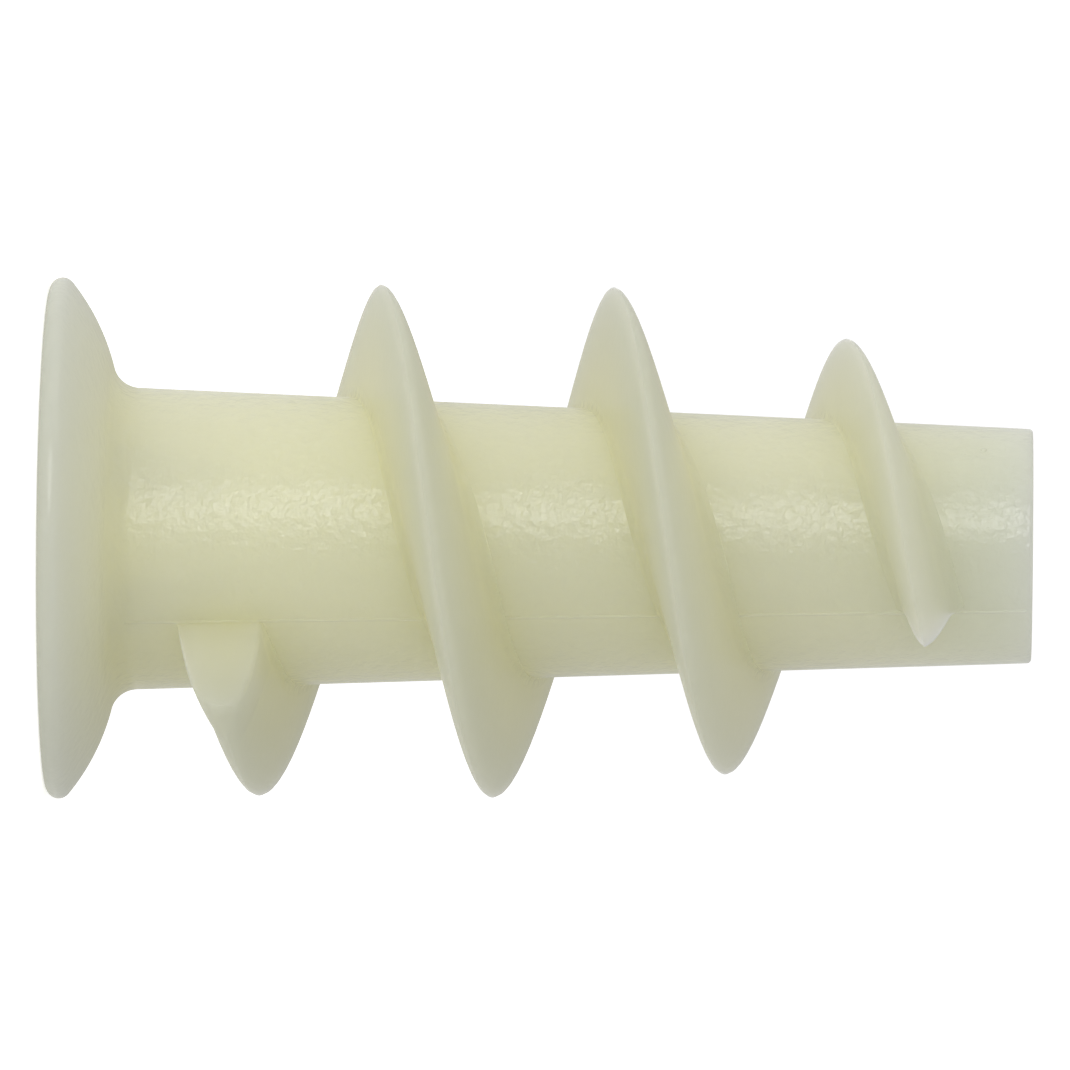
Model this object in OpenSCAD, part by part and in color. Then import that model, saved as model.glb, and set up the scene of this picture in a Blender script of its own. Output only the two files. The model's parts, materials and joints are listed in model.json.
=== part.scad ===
// Screw-in drywall anchor, moulded in one piece in natural nylon.
// It stands on its head: the face is at z = 0 and the tip points up.
// The thread is right-handed, single start, and starts and ends on the
// parting line of the mould.

/* [Overall] */
// Length from the face of the head to the tip
length = 23; // [19:0.5:32]

/* [Head] */
// Diameter of the head
head_d = 12.2; // [12.1:0.1:14]
// Height from the face to where the neck's round meets the shank
head_h = 2.12; // [1.8:0.02:2.4]
// Radius of the rim of the head
rim_r = 0.28; // [0.2:0.01:0.5]
// Angle at which the rim turns into the hollow-ground underside
underside_a = 51; // [42:1:56]
// Radius of the round between the underside and the shank
neck_r = 0.66; // [0.4:0.02:0.8]

/* [Shank] */
// Diameter of the shank at the neck
neck_d = 7.06; // [6.4:0.02:7.6]
// Diameter of the shank at the tip
tip_d = 5.48; // [5:0.02:6.2]
// Radius of the edge at the tip
tip_edge_r = 0.1; // [0.05:0.01:0.3]

/* [Thread] */
// Diameter over the crest of the thread
thread_d = 11.98; // [10.6:0.02:12.08]
// Rise of the thread in one turn
pitch = 5.46; // [4.6:0.02:5.8]
// Number of turns
turns = 3; // [2:0.25:3]
// Height of the crest where the thread first passes the +X side
first_crest_z = 4.99; // [4.8:0.01:5.6]
// Direction of the parting line, seen from the tip, where the thread starts
start_a = -56.5; // [-80:0.5:-30]
// Lean of the face at the thread's start from the plane of the parting line
start_face_a = 15; // [8:1:30]
// Width of the thread's root from the crest towards the head
head_flank_w = 0.66; // [0.5:0.01:0.9]
// Width of the thread's root from the crest towards the tip
tip_flank_w = 0.97; // [0.6:0.01:1.1]
// Extra width towards the head where the thread starts
start_extra_w = 0.4; // [0:0.02:0.5]
// Turn after which that extra width has run out
start_extra_a = 225; // [120:5:360]
// Power law of the flanks: 1 is a plain V, 2 is a parabola
flank_curve = 1.7; // [1.4:0.02:2]
// Power law of the flanks where the thread starts, blunter than a parabola
start_curve = 4; // [2:0.5:6]
// Height from which the crest tapers towards the tip
taper_z = 13.1; // [12:0.1:16]
// Taper of the crest towards the tip
taper_a = 12; // [8:0.1:14]

/* [Bore] */
// Diameter of the bore that the screw cuts into
bore_d = 3; // [2.6:0.1:3.4]
// Diameter of the lead-in at the face
lead_in_d = 4.2; // [3.6:0.1:4.6]
// Depth of the lead-in
lead_in_h = 1.2; // [0.8:0.1:1.6]

/* [Driver recess] */
// Width of each slot of the cross
slot_w = 1.3; // [1:0.05:1.5]
// Length of each slot at the face
slot_l = 5.8; // [5:0.1:6.2]
// Length of each slot at its bottom
slot_bottom_l = 3.6; // [3.5:0.1:4.2]
// Depth of the cross
slot_h = 4.5; // [3:0.1:5]
// Direction of the first slot, seen from the tip
slot_a = 45; // [0:5:90]

/* [Hidden] */
$fn = 96;

head_r = head_d / 2;
neck_shank_r = neck_d / 2;
tip_r = tip_d / 2;
crest_r = thread_d / 2;
bore_r = bore_d / 2;
turn = 360;
cut = 1;                // how far a cut runs past the face it opens
rim_steps = 8;          // points on the rim and on the neck's round
underside_steps = 10;
sink = 0.3;             // how deep the thread's root lies in the shank
start_in_a = 0.5;       // turn by which the start face begins inside the shank
start_steps = 4;        // sections that the start face cuts
start_turn = 20;        // turn in which the start's section turns into the full one
flank_steps = 7;        // points from the crest to the root
ring_a = 7.5;           // turn between two sections of the thread

function arc(r, z, radius, from, to, steps) =
    [for (i = [0:steps]) let (a = from + (to - from) * i / steps)
        [r + radius * cos(a), z + radius * sin(a)]];

// The rim, the underside and the neck's round meet tangentially:
// the underside's radius follows from the two it joins.
rim_c = [head_r - rim_r, rim_r];
neck_c = [neck_shank_r + neck_r, head_h];
underside_n = [cos(underside_a), sin(underside_a)];
underside_start = rim_c + rim_r * underside_n;
reach = underside_start - neck_c;
underside_r = (reach * reach - neck_r * neck_r) / (2 * (reach * underside_n + neck_r));
underside_c = underside_start - underside_r * underside_n;
neck_a = atan2(neck_c[1] - underside_c[1], neck_c[0] - underside_c[0]);

function shank_r(z) = neck_shank_r + (tip_r - neck_shank_r) * (z - head_h) / (length - head_h);

outline = concat(
    [[0, 0]],
    arc(rim_c[0], rim_c[1], rim_r, -90, underside_a, rim_steps),
    arc(underside_c[0], underside_c[1], underside_r, underside_a, neck_a, underside_steps),
    arc(neck_c[0], neck_c[1], neck_r, 180 + neck_a, 180, rim_steps),
    arc(tip_r - tip_edge_r, length - tip_edge_r, tip_edge_r, 0, 90, 4),
    [[0, length]]
);

// Sections of the thread, one for each angle a
function crest_z(a) = first_crest_z + pitch * a / turn;
function root_r(a) = shank_r(crest_z(a)) - sink;
function full_r(a) = crest_r - max(0, crest_z(a) - taper_z) * tan(taper_a);

// The start face is a plane along the axis. It leaves the shank at start_a
// and meets the crest at full_a.
start_r = shank_r(crest_z(start_a));
first_a = start_a - start_in_a;
full_a = start_a + start_face_a - asin(start_r * sin(start_face_a) / crest_r);
end_a = start_a + turn * turns;
full_steps = ceil((end_a - full_a) / ring_a);
angles = concat(
    [for (i = [0:start_steps - 1]) first_a + (full_a - first_a) * i / start_steps],
    [for (i = [0:full_steps]) full_a + (end_a - full_a) * i / full_steps]
);
function start_face_r(a) = start_r * sin(start_face_a) / sin(start_face_a - (a - start_a));
function crest_cut(i) = i < start_steps ? crest_r - start_face_r(angles[i]) : 0;

// Depth below the full crest gives the width of a flank, so a lower crest is
// narrower and a cut section has a flat top.
full_h = crest_r - root_r(0);
function left_of(gone, from, to) = min(1, max(0, (to - gone) / (to - from)));
function extra_w(a) = start_extra_w * left_of(a - start_a, start_turn, start_extra_a);
function flank_w(a, side) = side < 0 ? head_flank_w + extra_w(a) : tip_flank_w;
function curve(a) = flank_curve + (start_curve - flank_curve) * left_of(a - start_a, 0, start_turn);
function section_point(a, cut_h, j) = let (
        flat = cut_h > 0 ? 1 : 0,
        share = max(0, abs(j) - flat) / (flank_steps - flat),
        depth = cut_h + (full_r(a) - root_r(a) - cut_h) * pow(share, flank_curve),
        w = sign(j) * flank_w(a, j) * pow(depth / full_h, 1 / curve(a)),
        r = full_r(a) - depth)
    [r * cos(a), r * sin(a), crest_z(a) + w];

per_ring = 2 * flank_steps + 1;
thread_points = [for (i = [0:len(angles) - 1]) for (j = [-flank_steps:flank_steps])
    section_point(angles[i], crest_cut(i), j)];
last_ring = (len(angles) - 1) * per_ring;
thread_faces = concat(
    [[for (j = [per_ring - 1:-1:0]) j]],
    [for (i = [0:len(angles) - 2]) for (j = [0:per_ring - 1])
        let (k = (j + 1) % per_ring, low = i * per_ring, high = low + per_ring)
        each [[low + j, low + k, high + k], [low + j, high + k, high + j]]],
    [[for (j = [0:per_ring - 1]) last_ring + j]]
);

module body() {
    rotate_extrude() polygon(outline);
}

module thread() {
    polyhedron(thread_points, thread_faces);
}

module screw_bore() {
    translate([0, 0, -cut]) cylinder(r = bore_r, h = length + 2 * cut);
    lead_in_slope = (lead_in_d / 2 - bore_r) / lead_in_h;
    translate([0, 0, -cut])
        cylinder(r1 = lead_in_d / 2 + lead_in_slope * cut, r2 = bore_r, h = lead_in_h + cut);
}

module slot() {
    slope = (slot_l - slot_bottom_l) / 2 / slot_h;
    top = slot_l / 2 + slope * cut;
    rotate([90, 0, 0]) translate([0, 0, -slot_w / 2]) linear_extrude(slot_w)
        polygon([[-top, -cut], [top, -cut], [slot_bottom_l / 2, slot_h], [-slot_bottom_l / 2, slot_h]]);
}

module driver_recess() {
    rotate(slot_a) slot();
    rotate(slot_a + 90) slot();
}

module anchor() {
    color("#d0d2b4") difference() {
        union() {
            body();
            thread();
        }
        screw_bore();
        driver_recess();
    }
}

anchor();
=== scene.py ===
import json
import math

import bmesh
import bpy
from mathutils import Matrix, Vector

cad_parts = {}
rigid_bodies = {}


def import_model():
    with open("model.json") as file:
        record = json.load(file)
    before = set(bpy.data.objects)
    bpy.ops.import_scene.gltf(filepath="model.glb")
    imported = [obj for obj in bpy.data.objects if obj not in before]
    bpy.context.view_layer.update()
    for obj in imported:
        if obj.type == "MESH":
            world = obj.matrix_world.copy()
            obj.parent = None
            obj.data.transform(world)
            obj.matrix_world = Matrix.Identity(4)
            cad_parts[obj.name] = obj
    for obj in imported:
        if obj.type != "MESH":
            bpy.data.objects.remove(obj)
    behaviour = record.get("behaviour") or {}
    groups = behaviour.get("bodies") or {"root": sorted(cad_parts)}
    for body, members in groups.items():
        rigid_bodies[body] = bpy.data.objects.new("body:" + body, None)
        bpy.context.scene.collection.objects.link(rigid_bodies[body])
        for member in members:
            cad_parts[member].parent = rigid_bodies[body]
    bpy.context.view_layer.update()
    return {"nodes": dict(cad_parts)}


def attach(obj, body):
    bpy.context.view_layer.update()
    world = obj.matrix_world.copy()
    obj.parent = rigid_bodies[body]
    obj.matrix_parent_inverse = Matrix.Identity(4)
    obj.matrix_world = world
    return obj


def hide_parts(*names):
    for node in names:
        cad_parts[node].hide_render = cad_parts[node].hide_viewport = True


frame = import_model()
mm = 0.001  # the anchor is shaped in millimetres and brought to metres at the end
print("frame loaded:", ", ".join(frame["nodes"]))

# Camera: rolled, so that the anchor, standing on its head, lies across the picture, tip to the right
cameraSettings = {
    "distance": 379,  # mm from the axis
    "aimHeight": 11.5,  # mm above the head's face
    "lookDown": 1.21,  # degrees towards the head
    "roll": 0.485,  # degrees
    "pixelsPerMm": 42.75,  # at the axis
    "aimPixel": (540.2, 542.0),
    "imageSize": 1070,
    "sensorWidth": 36,  # mm
    "clip": (0.01, 20),  # metres
}


def placeCamera(c):
    down, roll = math.radians(c["lookDown"]), math.radians(c["roll"])
    forward = Vector((0, math.cos(down), -math.sin(down)))
    towardsTip = Vector((0, math.sin(down), math.cos(down)))
    right = towardsTip * math.cos(roll) - Vector((math.sin(roll), 0, 0))
    below = towardsTip * math.sin(roll) + Vector((math.cos(roll), 0, 0))
    besideX, besideY = ((p - c["imageSize"] / 2) / c["pixelsPerMm"] for p in c["aimPixel"])
    aim = Vector((0, 0, c["aimHeight"]))
    place = aim - forward * c["distance"] - right * besideX - below * besideY
    bpy.ops.object.camera_add()
    camera = bpy.context.object
    turned = Matrix((right, -below, -forward)).transposed().to_4x4()
    camera.matrix_world = Matrix.Translation(place * mm) @ turned
    camera.data.sensor_width = c["sensorWidth"]
    camera.data.lens = c["sensorWidth"] * c["pixelsPerMm"] * c["distance"] / c["imageSize"]
    camera.data.clip_start, camera.data.clip_end = c["clip"]
    bpy.context.scene.camera = camera


placeCamera(cameraSettings)
print("camera placed")


# Modelling helpers
def deselectAll():
    for piece in bpy.context.selected_objects:
        piece.select_set(False)


def makeActive(piece):
    deselectAll()
    piece.select_set(True)
    bpy.context.view_layer.objects.active = piece


def applyTransform():
    bpy.ops.object.transform_apply(location=True, rotation=True, scale=True)


def applyModifier(piece, kind, **settings):
    makeActive(piece)
    modifier = piece.modifiers.new(kind.lower(), kind)
    for name, value in settings.items():
        setattr(modifier, name, value)
    bpy.ops.object.modifier_apply(modifier=modifier.name)


def combine(piece, other, operation):
    applyModifier(piece, "BOOLEAN", operation=operation, object=other, solver="EXACT")
    bpy.data.objects.remove(other)


def selectFaces(piece, test):
    # in edit mode, by each face's centre and normal
    bpy.ops.mesh.select_mode(type="FACE")
    bpy.ops.mesh.select_all(action="DESELECT")
    mesh = bmesh.from_edit_mesh(piece.data)
    for face in mesh.faces:
        face.select_set(bool(test(face.calc_center_median(), face.normal)))
    bmesh.update_edit_mesh(piece.data)


def arc(centre, radius, fromA, toA, steps):
    angles = (math.radians(fromA + (toA - fromA) * i / steps) for i in range(steps + 1))
    return [(centre[0] + radius * math.cos(a), centre[1] + radius * math.sin(a)) for a in angles]


def outward(angle):
    return Vector((math.cos(math.radians(angle)), math.sin(math.radians(angle)), 0))


# Head, shank and bore, in mm and degrees, as in the part
bodySizes = {
    "length": 23,
    "headR": 6.1, "headH": 2.12, "rimR": 0.28, "undersideA": 51, "neckR": 0.66,
    "neckShankR": 3.53, "tipR": 2.74, "tipEdgeR": 0.1,
    "boreR": 1.5, "boreEdgeR": 0.08, "leadInR": 2.1, "leadInH": 1.2,
    "segments": 180, "faceRings": (3.4, 4.7),
    "rimSteps": 14, "undersideSteps": 18, "neckSteps": 12, "shankSteps": 24,
    "tipEdgeSteps": 5, "boreEdgeSteps": 4,
    "boreRings": 19, "boreRingGap": 1.085,  # along the bore's wall, down from its edge
    "mergeWithin": 0.002,  # joins the last ring to the first
    "sharpA": 32,  # edges that turn by more than this stay sharp
}


def shankR(z):
    b = bodySizes
    return b["neckShankR"] + (b["tipR"] - b["neckShankR"]) * (z - b["headH"]) / (b["length"] - b["headH"])


def onShank(angle, z):
    return outward(angle) * shankR(z) + Vector((0, 0, z))


def bodyOutline(b):
    # radii and heights, from the lead-in round the outside and back through the bore
    rim = Vector((b["headR"] - b["rimR"], b["rimR"]))
    neck = Vector((b["neckShankR"] + b["neckR"], b["headH"]))
    undersideA = math.radians(b["undersideA"])
    underside = Vector((math.cos(undersideA), math.sin(undersideA)))
    # the underside's arc meets the rim and the neck's round tangentially, which settles its radius
    reach = rim + b["rimR"] * underside - neck
    radius = (reach.dot(reach) - b["neckR"] ** 2) / (2 * (reach.dot(underside) + b["neckR"]))
    middle = rim + (b["rimR"] - radius) * underside
    neckA = math.degrees(math.atan2(neck.y - middle.y, neck.x - middle.x))
    shankH = b["length"] - b["headH"]
    shankZ = [b["headH"] + shankH * i / b["shankSteps"] for i in range(1, b["shankSteps"])]
    tipEdge = (b["tipR"] - b["tipEdgeR"], b["length"] - b["tipEdgeR"])
    boreEdge = (b["boreR"] + b["boreEdgeR"], b["length"] - b["boreEdgeR"])
    return (
        [(r, 0) for r in (b["leadInR"], *b["faceRings"])]
        + arc(rim, b["rimR"], -90, b["undersideA"], b["rimSteps"])
        + arc(middle, radius, b["undersideA"], neckA, b["undersideSteps"])[1:]
        + arc(neck, b["neckR"], 180 + neckA, 180, b["neckSteps"])[1:]
        + [(shankR(z), z) for z in shankZ]
        + arc(tipEdge, b["tipEdgeR"], 0, 90, b["tipEdgeSteps"])
        + arc(boreEdge, b["boreEdgeR"], 90, 180, b["boreEdgeSteps"])
        + [(b["boreR"], boreEdge[1] - b["boreRingGap"] * i) for i in range(1, b["boreRings"] + 1)]
        + [(b["boreR"], b["leadInH"])]
    )


def turnBody(b):
    outline = bodyOutline(b)
    firstR, firstZ = outline[0]
    deselectAll()
    bpy.ops.mesh.primitive_circle_add(vertices=b["segments"], radius=firstR, location=(0, 0, firstZ))
    body = bpy.context.object
    body.name = "anchor_visual"
    applyTransform()
    bpy.ops.object.mode_set(mode="EDIT")
    bpy.ops.mesh.select_all(action="SELECT")
    for (r0, z0), (r1, z1) in zip(outline, outline[1:] + outline[:1]):  # back to the first at the end
        bpy.ops.mesh.extrude_region_move(TRANSFORM_OT_translate={"value": (0, 0, z1 - z0)})
        bpy.ops.transform.resize(value=(r1 / r0, r1 / r0, 1), center_override=(0, 0, z1))
    bpy.ops.mesh.select_all(action="SELECT")
    bpy.ops.mesh.remove_doubles(threshold=b["mergeWithin"])
    bpy.ops.mesh.normals_make_consistent(inside=False)
    bpy.ops.object.mode_set(mode="OBJECT")
    return body


anchor = turnBody(bodySizes)
print("body turned:", len(anchor.data.polygons), "faces")

# The thread, in mm and degrees, as in the part: right-handed, from parting line to parting line
threadSizes = {
    "crestR": 5.99, "pitch": 5.46, "turns": 3, "firstCrestZ": 4.99, "startA": -56.5, "startFaceA": 15,
    "headFlankW": 0.66, "tipFlankW": 0.97, "flankCurve": 1.7,
    "startCurve": 4, "startTurn": 20, "startExtraW": 0.4, "startExtraA": 225,
    "taperZ": 13.1, "taperA": 12, "sink": 0.3,
    "rootRoundH": 0.1, "rootRoundW": 0.05,
    "sideRoundH": 0.35, "sideRoundW": 0.25,  # what the sides have on top of that
    "sideFromA": 30,  # turn from the start within which it comes in
    "crestRound": 0.06, "startRound": 0.12, "endRound": 0.2,
    "endCrestR": 4.4,  # roughly the crest's radius at the blunt end
    "leastShare": 0.2,  # of a flank's width is left where the ends' rounds take it off
    "startInA": 0.5, "endSteps": 40, "endStepA": 0.3, "stepsPerTurn": 320,
    "flankSteps": 12, "roundSteps": 5,
    "crowding": 1.6,  # above 1 a flank's points lie closer towards the crest
    "tolerance": 0.001,
    "circleR": 1, "circleX": 4.5,  # of the plain circle that is screwed
}


def crestZ(a):
    return threadSizes["firstCrestZ"] + threadSizes["pitch"] * a / 360


def startFaceR(t, a):
    # the leaning plane in which the thread starts, and the crest where that plane has run past it
    lean, gone = math.radians(t["startFaceA"]), math.radians(a - t["startA"])
    if gone >= lean:
        return t["crestR"]
    return min(t["crestR"], shankR(crestZ(t["startA"])) * math.sin(lean) / math.sin(lean - gone))


def startEasing(t, a, r):
    # what the rounded edge of that plane takes off each flank
    lean = math.radians(t["startFaceA"])
    startR = shankR(crestZ(t["startA"]))
    gone = math.radians(a - t["startA"]) - lean + math.asin(startR / max(r, startR) * math.sin(lean))
    share = 1 - min(1, max(0, gone * r / t["startRound"]))
    return t["startRound"] * (1 - math.sqrt(1 - share**2))


def endEasing(t, gone):
    # what the round of the blunt end takes off there
    toEnd = math.radians(360 * t["turns"] - gone) * t["endCrestR"]
    inRound = max(0, t["endRound"] - toEnd)
    return t["endRound"] - math.sqrt(max(0, t["endRound"] ** 2 - inRound**2))


def ringAngles(t):
    # sections lie close together at both ends, where the edges are rounded
    first, last = t["startA"] - t["startInA"], t["startA"] + 360 * t["turns"]
    fine = t["endSteps"] * t["endStepA"]
    middle = t["stepsPerTurn"] * t["turns"] - 2 * t["endSteps"]
    return ([first + i * t["endStepA"] for i in range(t["endSteps"])]
            + [first + fine + (last - first - 2 * fine) * i / middle for i in range(middle)]
            + [last - fine + i * t["endStepA"] for i in range(t["endSteps"] + 1)])


def leftOf(gone, begin, end):
    return min(1, max(0, (end - gone) / (end - begin)))


def radiiDown(t, fullR, topR, surfaceR, roundH):
    # from the crest, where they lie closest, through the round at the root to the root in the shank
    flat = 1 if topR < fullR - t["tolerance"] else 0  # a cut section has a flat top
    roundR, baseR = min(topR, surfaceR + roundH), min(topR, surfaceR)
    down = []
    for i in range(t["flankSteps"] + 1):
        share = max(0, i - flat) / (t["flankSteps"] - flat)
        down.append(topR - (topR - roundR) * share ** t["crowding"])
    for i in range(1, t["roundSteps"] + 1):
        down.append(roundR - (roundR - baseR) * math.sin(math.pi / 2 * i / t["roundSteps"]))
    return down + [surfaceR - t["sink"]]


def threadRing(t, a):
    # one section: root, flank, crest, flank and root, from the head's side to the tip's
    gone, turned, z = a - t["startA"], math.radians(a), crestZ(a)
    surfaceR = shankR(z)
    rootR = surfaceR - t["sink"]
    fullR = t["crestR"] - max(0, z - t["taperZ"]) * math.tan(math.radians(t["taperA"]))
    fullH = t["crestR"] - shankR(t["firstCrestZ"]) + t["sink"]
    topR = min(fullR, startFaceR(t, a))
    curve = t["flankCurve"] + (t["startCurve"] - t["flankCurve"]) * leftOf(gone, 0, t["startTurn"])
    headW = t["headFlankW"] + t["startExtraW"] * leftOf(gone, t["startTurn"], t["startExtraA"])
    # the round at the root is wide at the sides and small above and below, where the outline shows corners
    atSide = math.sin(turned) ** 2 * (1 - leftOf(gone, 0, t["sideFromA"]))
    roundH = t["rootRoundH"] + t["sideRoundH"] * atSide
    roundW = t["rootRoundW"] + t["sideRoundW"] * atSide
    down = radiiDown(t, fullR, topR, surfaceR, roundH)
    shrink = endEasing(t, gone)
    ring = []
    for i in range(1 - len(down), len(down)):
        r = down[abs(i)]
        flankW = t["tipFlankW"] if i > 0 else headW
        sharp = t["crestRound"] / flankW  # a power law with its apex rounded off
        depth = (fullR - r) / fullH
        w = flankW * math.sqrt(max(0, (depth + sharp**curve) ** (2 / curve) - sharp**2))
        inRound = min(1, max(0, (surfaceR + roundH - r) / roundH))
        w += roundW * (1 - math.sqrt(1 - inRound**2))
        w = max(t["leastShare"] * w, w - startEasing(t, a, r) - shrink) if i else 0
        r -= min(shrink, topR - rootR) * (r - rootR) / (topR - rootR)
        ring.append(Vector((r * math.cos(turned), r * math.sin(turned), z + math.copysign(w, i))))
    return ring


def screwThread(t):
    # a plain circle is screwed up the axis, and then every ring gets the section that belongs there
    perRing = 2 * (t["flankSteps"] + t["roundSteps"] + 1) + 1
    deselectAll()
    bpy.ops.mesh.primitive_circle_add(
        vertices=perRing, radius=t["circleR"], location=(t["circleX"], 0, t["firstCrestZ"]),
        rotation=(math.pi / 2, 0, 0))
    thread = bpy.context.object
    thread.name = "thread"
    applyTransform()
    applyModifier(thread, "SCREW", angle=2 * math.pi, screw_offset=t["pitch"], iterations=t["turns"],
                  steps=t["stepsPerTurn"], render_steps=t["stepsPerTurn"], use_smooth_shade=False)
    angles = ringAngles(t)
    assert len(thread.data.vertices) == len(angles) * perRing
    for ring, a in enumerate(angles):
        for i, place in enumerate(threadRing(t, a)):
            thread.data.vertices[ring * perRing + i].co = place
    bpy.ops.object.mode_set(mode="EDIT")
    bpy.ops.mesh.select_mode(type="EDGE")
    for end in (0, len(angles) - 1):  # close both ends
        mesh = bmesh.from_edit_mesh(thread.data)
        for edge in mesh.edges:
            edge.select_set(all(v.index // perRing == end for v in edge.verts))
        bmesh.update_edit_mesh(thread.data)
        bpy.ops.mesh.edge_face_add()
        bpy.ops.mesh.select_all(action="DESELECT")
    bpy.ops.mesh.select_all(action="SELECT")
    bpy.ops.mesh.quads_convert_to_tris()
    bpy.ops.mesh.normals_make_consistent(inside=False)
    bpy.ops.object.mode_set(mode="OBJECT")
    return thread


thread = screwThread(threadSizes)
print("thread screwed:", len(thread.data.polygons), "faces")
combine(anchor, thread, "UNION")
print("thread joined to the body:", len(anchor.data.polygons), "faces")

# Driver recess: two tapered slots that cross, with edges eased where they open in the face
recessSizes = {
    "width": 1.3, "length": 5.8, "bottomLength": 3.6, "depth": 4.5, "directions": (45, 135),
    "easing": 0.1, "bevel": 0.08,
    "overshoot": 0.5,  # how far the cut runs past the face
}


def cutSlot(s, turned):
    deselectAll()
    bpy.ops.mesh.primitive_cube_add(size=1, location=(0, 0, (s["easing"] + s["depth"]) / 2))
    slot = bpy.context.object
    slot.dimensions = (s["length"], s["width"], s["depth"] - s["easing"])
    applyTransform()
    bpy.ops.object.mode_set(mode="EDIT")
    selectFaces(slot, lambda centre, normal: normal.z > 0.5)  # the bottom, deep in the anchor
    narrower = s["bottomLength"] / s["length"], 1, 1
    bpy.ops.transform.resize(value=narrower, center_override=(0, 0, s["depth"]))
    bpy.ops.mesh.select_mode(type="EDGE")
    bpy.ops.mesh.select_all(action="SELECT")
    bpy.ops.mesh.bevel(offset=s["bevel"], segments=2, affect="EDGES")
    selectFaces(slot, lambda centre, normal: normal.z < -0.95)  # the mouth, without the bevel round it
    bpy.ops.mesh.extrude_region_move(TRANSFORM_OT_translate={"value": (0, 0, -s["easing"])})
    wider = 1 + 2 * s["easing"] / s["length"], 1 + 2 * s["easing"] / s["width"], 1
    bpy.ops.transform.resize(value=wider, center_override=(0, 0, 0))
    bpy.ops.mesh.extrude_region_move(TRANSFORM_OT_translate={"value": (0, 0, -s["overshoot"])})
    bpy.ops.object.mode_set(mode="OBJECT")
    slot.rotation_euler = (0, 0, turned)
    applyTransform()
    combine(anchor, slot, "DIFFERENCE")


for direction in recessSizes["directions"]:
    cutSlot(recessSizes, math.radians(direction))
print("driver recess cut")

# Parting line: a hair of flash along the shank on both sides, where the mould's halves met
flashSizes = {
    "radius": 0.04, "fromZ": 1.9, "toZ": 22.86, "sides": 12,
    "angles": (threadSizes["startA"], threadSizes["startA"] + 180),
}


def addFlash(f, angle):
    low, high = onShank(angle, f["fromZ"]), onShank(angle, f["toZ"])
    deselectAll()
    bpy.ops.mesh.primitive_cylinder_add(
        vertices=f["sides"], radius=f["radius"], depth=(high - low).length, location=(low + high) / 2,
        rotation=(high - low).to_track_quat("Z", "Y").to_euler())
    flash = bpy.context.object
    applyTransform()
    combine(anchor, flash, "UNION")


for angle in flashSizes["angles"]:
    addFlash(flashSizes, angle)
print("parting lines added")

# Gate mark: a faint round dish near the tip with the broken gate's stub in it
gateSizes = {
    "angle": -144.5, "z": 21.84, "radius": 0.66, "depth": 0.045,
    "lid": 0.1,  # how far the cutter stands out of the shank, short of the thread
    "stubRadius": 0.12, "stubHeight": 0.03,
    "dishSegments": 256, "stubSegments": 20,
}


def cutGateMark(g):
    out, surface = outward(g["angle"]), onShank(g["angle"], g["z"])
    turn = out.to_track_quat("Z", "Y").to_euler()
    ball = (g["radius"] ** 2 + g["depth"] ** 2) / (2 * g["depth"])  # a large ball's cap leaves the dish
    deselectAll()
    bpy.ops.mesh.primitive_uv_sphere_add(
        segments=g["dishSegments"], ring_count=g["dishSegments"] // 2, radius=ball,
        location=surface + out * (ball - g["depth"]), rotation=turn)
    dish = bpy.context.object
    bpy.ops.object.mode_set(mode="EDIT")
    selectFaces(dish, lambda centre, normal: centre.z > g["depth"] + g["lid"] - ball)  # all but the cap
    bpy.ops.mesh.delete(type="FACE")
    bpy.ops.mesh.select_mode(type="EDGE")
    bpy.ops.mesh.select_all(action="SELECT")
    bpy.ops.mesh.region_to_loop()
    bpy.ops.mesh.edge_face_add()
    bpy.ops.object.mode_set(mode="OBJECT")
    applyTransform()
    combine(anchor, dish, "DIFFERENCE")
    deselectAll()
    bpy.ops.mesh.primitive_uv_sphere_add(
        segments=g["stubSegments"], ring_count=g["stubSegments"] // 2, radius=g["stubRadius"],
        location=surface + out * (g["stubHeight"] - g["stubRadius"] - g["depth"]), rotation=turn)
    stub = bpy.context.object
    applyTransform()
    combine(anchor, stub, "UNION")


cutGateMark(gateSizes)
print("gate mark cut")

# To metres, and smooth but for real edges
makeActive(anchor)
anchor.scale = (mm, mm, mm)
applyTransform()
bpy.ops.object.mode_set(mode="EDIT")
bpy.ops.mesh.select_all(action="SELECT")
bpy.ops.mesh.quads_convert_to_tris()
bpy.ops.object.mode_set(mode="OBJECT")
bpy.ops.object.shade_smooth_by_angle(angle=math.radians(bodySizes["sharpA"]))


# Material helpers
def linearColour(hexText):
    def channel(c):
        return c / 12.92 if c <= 0.04045 else ((c + 0.055) / 1.055) ** 2.4  # the sRGB curve

    return tuple(channel(int(hexText[i : i + 2], 16) / 255) for i in (1, 3, 5)) + (1,)


def addNode(tree, kind, settings, links={}):
    # settings are the node's own options or the values of its sockets, links go to its sockets
    node = tree.nodes.new("ShaderNode" + kind)
    for name, value in settings.items():
        if isinstance(name, str) and hasattr(node, name):
            setattr(node, name, value)
        else:
            node.inputs[name].default_value = value
    for name, source in links.items():
        tree.links.new(source, node.inputs[name])
    return node


def newMaterial(name):
    material = bpy.data.materials.new(name)
    material.use_nodes = True
    material.node_tree.nodes.clear()
    return material, material.node_tree


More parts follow.
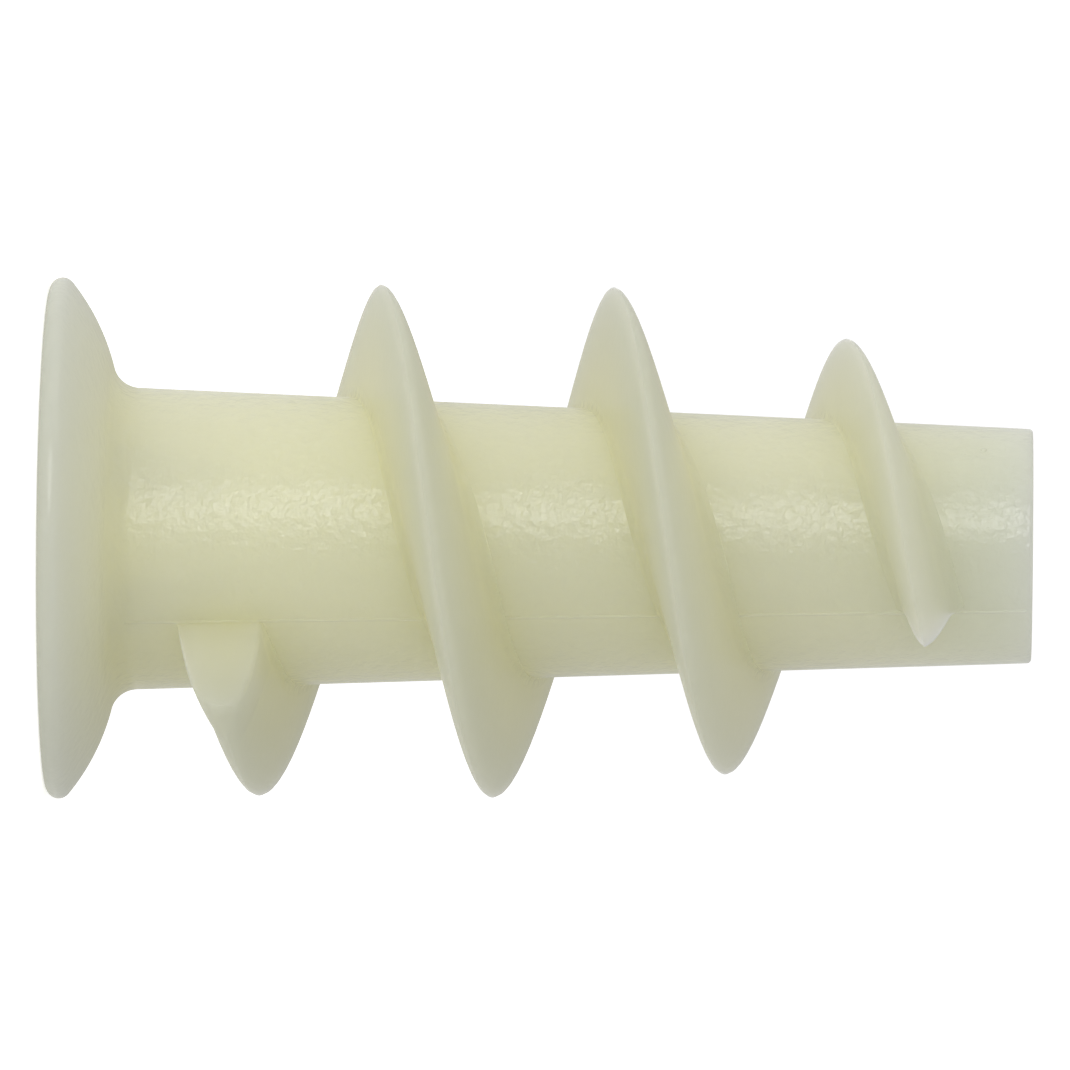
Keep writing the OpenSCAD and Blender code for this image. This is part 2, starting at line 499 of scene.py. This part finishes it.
# Natural nylon 6, injection moulded: a milky, slightly green cream. Light passes through it for a few
# millimetres, so it looks yellow and bright where it is thick and grey where it is thin: on the crest
# of the thread, at the rim of the head and at the tip. That greying is also painted into the colour as
# painted shade, on top of the scattering: the thin parts get a darker, greyer colour than the thick ones.
# The mould was spark-eroded between the turns, which gives the shank a fine sparkle, less so for the
# head, and polished for the thread.
nylon = {
    # the thread's, head's and tip's colours are painted shade: darker and greyer than the thick nylon
    "thickColour": "#e4e1b7", "tipPaintedThinShade": "#c9cdb4", "threadPaintedThinShade": "#b0b19b", "headPaintedThinShade": "#bcbeae",
    "crestHeight": 2.45,  # mm above the shank, where the nylon looks thinnest
    "thinning": 0.6,  # below 1 it greys early on the way up there
    "tipFromZ": 17.5, "tipToZ": 23.5, "headFromZ": 2.6, "headToZ": 1.4,  # mm
    "grainSize": 0.27, "glossGrainDepth": 0.058, "bodyGrainDepth": 0.022,  # mm
    "grainDetail": 2, "grainRoughness": 0.6,
    "grainOverShank": 0.12, "grainFade": 0.15,  # mm above the shank's surface
    "threadGrain": 0.12, "headGrain": 0.5,  # shares of the shank's grain
    "gloss": 0.42, "roughness": 0.22, "ior": 1.53,
    "scatter": (8, 7.7, 7),  # mm, Blender's radius, about twelve times the mean path of the light
}


def heightOverShank(tree, place, z):
    # tells thick from thin, and the eroded shank from the polished thread
    slope = (bodySizes["tipR"] - bodySizes["neckShankR"]) / (bodySizes["length"] - bodySizes["headH"])
    flat = addNode(tree, "VectorMath", {"operation": "MULTIPLY", 1: (1, 1, 0)}, {0: place})
    fromAxis = addNode(tree, "VectorMath", {"operation": "LENGTH"}, {0: flat.outputs["Vector"]})
    shank = addNode(tree, "Math", {"operation": "MULTIPLY_ADD", 1: slope, 2: shankR(0) * mm}, {0: z})
    return addNode(tree, "Math", {"operation": "SUBTRACT"}, {
        0: fromAxis.outputs["Value"], 1: shank.outputs[0],
    }).outputs[0]


# Paints shade by thickness: the colour turns darker and greyer with height above the shank, towards the
# head's rim and towards the tip
def nylonColourWithPaintedShade(tree, n, above, headward, z):
    # a Mix node's colours are its sockets 6 and 7, and what it mixes is its output 2
    raised = addNode(tree, "MapRange", {"From Max": n["crestHeight"] * mm}, {"Value": above})
    thin = addNode(tree, "Math", {"operation": "POWER", 1: n["thinning"]}, {0: raised.outputs["Result"]})
    tipward = addNode(tree, "MapRange", {
        "interpolation_type": "SMOOTHSTEP", "From Min": n["tipFromZ"] * mm, "From Max": n["tipToZ"] * mm,
    }, {"Value": z})
    body = addNode(tree, "Mix", {
        "data_type": "RGBA", 6: linearColour(n["thickColour"]), 7: linearColour(n["tipPaintedThinShade"]),
    }, {0: tipward.outputs["Result"]})
    paintedThinShade = addNode(tree, "Mix", {
        "data_type": "RGBA", 6: linearColour(n["threadPaintedThinShade"]), 7: linearColour(n["headPaintedThinShade"]),
    }, {0: headward})
    return addNode(tree, "Mix", {"data_type": "RGBA"}, {
        0: thin.outputs[0], 6: body.outputs[2], 7: paintedThinShade.outputs[2],
    }).outputs[2]


def grainHeight(tree, n, above, headward, place):
    eroded = addNode(tree, "MapRange", {
        "From Min": n["grainOverShank"] * mm, "From Max": (n["grainOverShank"] + n["grainFade"]) * mm,
        "To Min": 1, "To Max": n["threadGrain"],
    }, {"Value": above})
    onHead = addNode(tree, "Math", {"operation": "MULTIPLY", 1: n["headGrain"]}, {0: headward})
    rough = addNode(tree, "Math", {"operation": "MAXIMUM"}, {
        0: eroded.outputs["Result"], 1: onHead.outputs[0],
    })
    grain = addNode(tree, "TexNoise", {
        "Scale": 1 / (n["grainSize"] * mm), "Detail": n["grainDetail"], "Roughness": n["grainRoughness"],
    }, {"Vector": place})
    return addNode(tree, "Math", {"operation": "MULTIPLY"}, {
        0: grain.outputs["Fac"], 1: rough.outputs[0],
    }).outputs[0]


def nylonMaterial(n):
    material, tree = newMaterial("mouldedNaturalNylon")
    place = addNode(tree, "TexCoord", {}).outputs["Object"]
    z = addNode(tree, "SeparateXYZ", {}, {0: place}).outputs["Z"]
    above = heightOverShank(tree, place, z)
    headward = addNode(tree, "MapRange", {
        "From Min": n["headFromZ"] * mm, "From Max": n["headToZ"] * mm,
    }, {"Value": z}).outputs["Result"]
    height = grainHeight(tree, n, above, headward, place)
    # the gloss, laid on as a coat, shows the grain; the light that has been inside leaves more evenly
    glossBump = addNode(tree, "Bump", {"Distance": n["glossGrainDepth"] * mm}, {"Height": height})
    bodyBump = addNode(tree, "Bump", {"Distance": n["bodyGrainDepth"] * mm}, {"Height": height})
    shader = addNode(tree, "BsdfPrincipled", {
        "Subsurface Weight": 1, "Subsurface Scale": mm, "Subsurface Radius": n["scatter"],
        "Specular IOR Level": 0,
        "Coat Weight": n["gloss"], "Coat IOR": n["ior"], "Coat Roughness": n["roughness"],
    }, {
        "Base Color": nylonColourWithPaintedShade(tree, n, above, headward, z),
        "Normal": bodyBump.outputs["Normal"], "Coat Normal": glossBump.outputs["Normal"],
    })
    addNode(tree, "OutputMaterial", {}, {"Surface": shader.outputs[0]})
    return material


anchor.data.materials.clear()
anchor.data.materials.append(nylonMaterial(nylon))
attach(anchor, "root")
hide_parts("anchor")
print("anchor finished:", len(anchor.data.polygons), "triangles")

# A white acrylic table lit faintly from below, as in a product photographer's light tent
stageSettings = {
    "tableSize": 1.2,  # metres
    "tableBelow": 0.02,  # mm, so that it doesn't touch the head's face
    "tableColour": "#f4f4f2", "tableRoughness": 0.6,
    "tableGlow": 0.28, "tableSeen": 0.64,  # how strongly it lights, and how bright the camera sees it
}


def addTable(s):
    deselectAll()
    bpy.ops.mesh.primitive_plane_add(size=s["tableSize"], location=(0, 0, -s["tableBelow"] * mm))
    table = bpy.context.object
    table.name = "light_table"
    applyTransform()
    material, tree = newMaterial("litWhiteAcrylic")
    seen = addNode(tree, "LightPath", {}).outputs["Is Camera Ray"]
    glow = addNode(tree, "MapRange", {"To Min": s["tableGlow"], "To Max": s["tableSeen"]}, {"Value": seen})
    shader = addNode(tree, "BsdfPrincipled", {
        "Base Color": linearColour(s["tableColour"]), "Roughness": s["tableRoughness"],
        "Emission Color": linearColour("#ffffff"),
    }, {"Emission Strength": glow.outputs["Result"]})
    addNode(tree, "OutputMaterial", {}, {"Surface": shader.outputs[0]})
    table.data.materials.append(material)


addTable(stageSettings)

# Soft light: a large round box in front, a weak one at the side towards the tip, and the tent's even white
lightSettings = {
    # degrees from the camera towards the picture's top, degrees towards the tip, and watts
    "boxes": {"key": (25, 0, 2.3), "side": (80, 40, 0.21)},
    "boxDistance": 0.6, "boxDiameter": 0.32,  # metres
    "tentLight": 0.518, "tentSeen": 1.05,  # how strongly it lights, and how bright the camera sees it
}


def addSoftBox(s, name):
    aside, up, power = s["boxes"][name]
    aside, up = math.radians(aside), math.radians(up)
    out = Vector((-math.sin(aside) * math.cos(up), -math.cos(aside) * math.cos(up), math.sin(up)))
    aim = Vector((0, 0, cameraSettings["aimHeight"] * mm))
    bpy.ops.object.light_add(type="AREA", location=out * s["boxDistance"] + aim)
    box = bpy.context.object
    box.name = name + "_box"
    box.rotation_euler = out.to_track_quat("Z", "Y").to_euler()
    box.data.shape = "DISK"
    box.data.size = s["boxDiameter"]
    box.data.energy = power
    box.visible_camera = False


def addTent(s):
    world = bpy.data.worlds.new("lightTent")
    bpy.context.scene.world = world
    world.use_nodes = True
    tree = world.node_tree
    tree.nodes.clear()
    seen = addNode(tree, "LightPath", {}).outputs["Is Camera Ray"]
    glow = addNode(tree, "MapRange", {"To Min": s["tentLight"], "To Max": s["tentSeen"]}, {"Value": seen})
    light = addNode(tree, "Background", {"Color": (1, 1, 1, 1)}, {"Strength": glow.outputs["Result"]})
    addNode(tree, "OutputWorld", {}, {"Surface": light.outputs[0]})


for name in lightSettings["boxes"]:
    addSoftBox(lightSettings, name)
addTent(lightSettings)
bpy.context.scene.view_settings.view_transform = "Standard"
print("table and lights placed")
